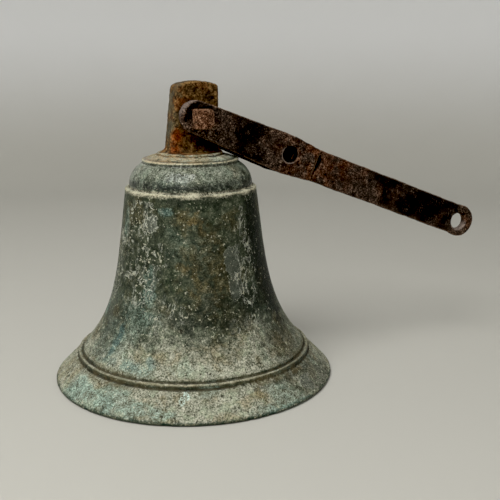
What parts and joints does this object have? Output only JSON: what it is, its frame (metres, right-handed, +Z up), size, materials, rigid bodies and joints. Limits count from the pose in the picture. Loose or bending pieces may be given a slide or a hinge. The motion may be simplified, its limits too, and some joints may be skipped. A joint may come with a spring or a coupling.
{
  "type": "swing bell",
  "caption": "Flared bronze bell with a cast crown block, a forked iron lever bolted through it and a clapper hung inside, ready to pivot in a bracket and be rung by a rope.",
  "frame": {"origin": "centre of the bell's mouth, in the plane of its rim", "axes": "+Z up the bell's axis; +X to the side that the lever points to; the head of the bolt faces -Y"},
  "size_m": [0.3757, 0.2276, 0.2372],
  "materials": {
    "bell_bronze": "cast bronze with a dull green-black patina, pale verdigris and lime specks, brighter green at the lip",
    "lever_iron": "forged iron, pitted, brown rust over black scale",
    "bolt_iron": "pitted iron with dry light brown rust",
    "clapper_iron": "forged iron, dark brown rust, worn bright where it strikes"
  },
  "bodies": {
    "bell": {"bell_casting": "bell_bronze", "crown_staple": "clapper_iron", "front_spacer": "bolt_iron", "rear_spacer": "bolt_iron", "pivot_bolt": "bolt_iron", "nut_washer": "bolt_iron", "square_nut": "bolt_iron"},
    "lever": {"lever_bar": "lever_iron", "front_tine": "lever_iron"},
    "clapper": {"clapper_shank": "clapper_iron", "clapper_ball": "clapper_iron"}
  },
  "joints": [
    {"name": "lever_swing", "type": "hinge", "parent": "bell", "child": "lever", "pos_m": [0.0016, 0, 0.2096], "axis": [0, 1, 0], "range_deg": [-226, 2]},
    {"name": "clapper_swing", "type": "hinge", "parent": "bell", "child": "clapper", "pos_m": [0, 0, 0.149], "axis": [0, 1, 0], "range_deg": [-25.5, 25.5]}
  ]
}
